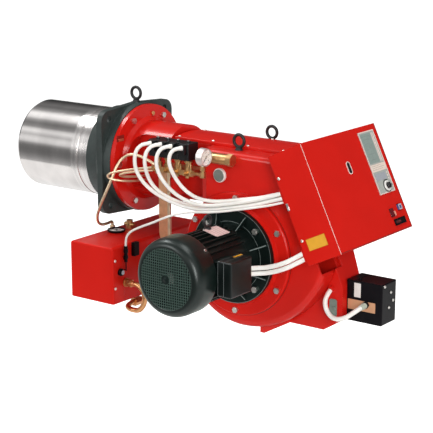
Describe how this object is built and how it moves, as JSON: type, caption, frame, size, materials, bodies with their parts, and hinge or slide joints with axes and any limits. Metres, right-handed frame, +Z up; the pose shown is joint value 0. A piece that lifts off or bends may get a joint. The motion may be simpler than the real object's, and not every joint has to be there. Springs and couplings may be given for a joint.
{
  "type": "oil burner",
  "caption": "Flange-mounted heavy oil burner with blast tube, fan scroll, electric motor, oil preheater, solenoid valve group and sloping control cabinet.",
  "frame": {"origin": "on the blast tube's axis, at the face of the mounting plate that meets the boiler", "axes": "X runs along the blast tube from the boiler towards the cabinet, the motor lies on the -Y side, Z is up"},
  "size_m": [1.16, 0.6033, 0.5924],
  "materials": {
    "red_paint": "gloss red enamel",
    "black_paint": "satin green-black enamel",
    "cast_black": "painted casting",
    "turned_steel": "turned, with fine rings",
    "zinc_steel": "zinc plated",
    "aluminium": "cast and machined",
    "brass": "machined",
    "copper": "drawn tube",
    "strap_metal": "passivated strip",
    "chrome": "bright",
    "black_plastic": "moulded",
    "grey_plastic": "moulded",
    "panel_grey": "satin grey",
    "light_plastic": "moulded",
    "cable_white": "white cable sheath",
    "clear_glass": "flat glass",
    "galvanised": "galvanised sheet",
    "porcelain": "glazed porcelain"
  },
  "bodies": {
    "burner": {"blast_tube": "turned_steel", "burner_body": "red_paint", "cabinet_base": "red_paint", "cabinet_cover": "red_paint", "coil_cable_1": "cable_white", "coil_cable_2": "cable_white", "coil_cable_3": "cable_white", "coil_cable_4": "cable_white", "copper_pipe": "copper", "diffuser_disc": "zinc_steel", "fan_cowl": "black_paint", "gauge_lens": "clear_glass", "heater_sensor": "black_plastic", "hex_bolts": "zinc_steel", "hour_counter": "black_plastic", "ignition_electrodes": "porcelain", "index_plate": "panel_grey", "instrument_plate": "panel_grey", "intake_box": "red_paint", "lifting_eyes": "black_paint", "motor_cable_1": "cable_white", "motor_cable_2": "cable_white", "motor_flange": "red_paint", "motor_frame": "red_paint", "motor_plate": "red_paint", "mounting_plate": "cast_black", "nozzle_lance": "brass", "nozzle_pipes": "copper", "oil_cylinder": "brass", "oil_pump": "aluminium", "preheater_cover": "red_paint", "preheater_pipe": "copper", "preheater_tank": "red_paint", "pressure_gauge": "chrome", "relief_valve": "brass", "return_pipe": "copper", "sensor_cable": "cable_white", "servo_conduit": "cable_white", "servomotor": "black_plastic", "sight_glass": "clear_glass", "sight_glass_rim": "light_plastic", "small_screws": "zinc_steel", "solenoid_coils": "black_plastic", "support_strap": "strap_metal", "terminal_box": "black_paint", "terminal_lid": "black_paint", "thermometer": "chrome", "top_cover": "red_paint", "tube_collar": "black_paint", "valve_manifold": "brass"},
    "rotor": {"motor_shaft": "zinc_steel", "fan_impeller": "galvanised", "cooling_fan": "black_plastic"},
    "damper": {"air_damper": "galvanised"},
    "gauge_needle": {"gauge_pointer": "black_plastic"},
    "thermometer_needle": {"thermometer_pointer": "black_plastic"},
    "thermostat": {"thermostat_knob": "grey_plastic"},
    "selector": {"selector_knob": "black_plastic"},
    "reset": {"reset_button": "light_plastic"},
    "rocker": {"power_switch": "black_plastic"}
  },
  "joints": [
    {"name": "fan_spin", "type": "hinge", "parent": "burner", "child": "rotor", "pos_m": [0.4457, -0.2, -0.188], "axis": [0, 1, 0], "continuous": true},
    {"name": "damper_turn", "type": "hinge", "parent": "burner", "child": "damper", "pos_m": [0.572, 0.015, -0.326], "axis": [1, 0, 0], "range_deg": [0, 90]},
    {"name": "gauge_needle_turn", "type": "hinge", "parent": "burner", "child": "gauge_needle", "pos_m": [0.384, -0.172, 0.067], "axis": [-1, 0, 0], "range_deg": [0, 270]},
    {"name": "thermometer_needle_turn", "type": "hinge", "parent": "burner", "child": "thermometer_needle", "pos_m": [0.032, -0.114, -0.187], "axis": [0, 0, -1], "range_deg": [0, 180]},
    {"name": "thermostat_turn", "type": "hinge", "parent": "burner", "child": "thermostat", "pos_m": [0.142, -0.231, -0.263], "axis": [-1, 0, 0], "range_deg": [0, 270]},
    {"name": "selector_turn", "type": "hinge", "parent": "burner", "child": "selector", "pos_m": [0.73683, 0.135, -0.0146], "axis": [-0.9018, 0, -0.4321], "range_deg": [0, 90]},
    {"name": "reset_press", "type": "slide", "parent": "burner", "child": "reset", "axis": [-0.9018, 0, -0.4321], "range_m": [0, 0.003], "stiffness_N_per_m": 400, "springref_m": -0.001},
    {"name": "rocker_tilt", "type": "hinge", "parent": "burner", "child": "rocker", "pos_m": [0.76482, 0.112, -0.07881], "axis": [0, 1, 0], "range_deg": [0, 14]}
  ]
}
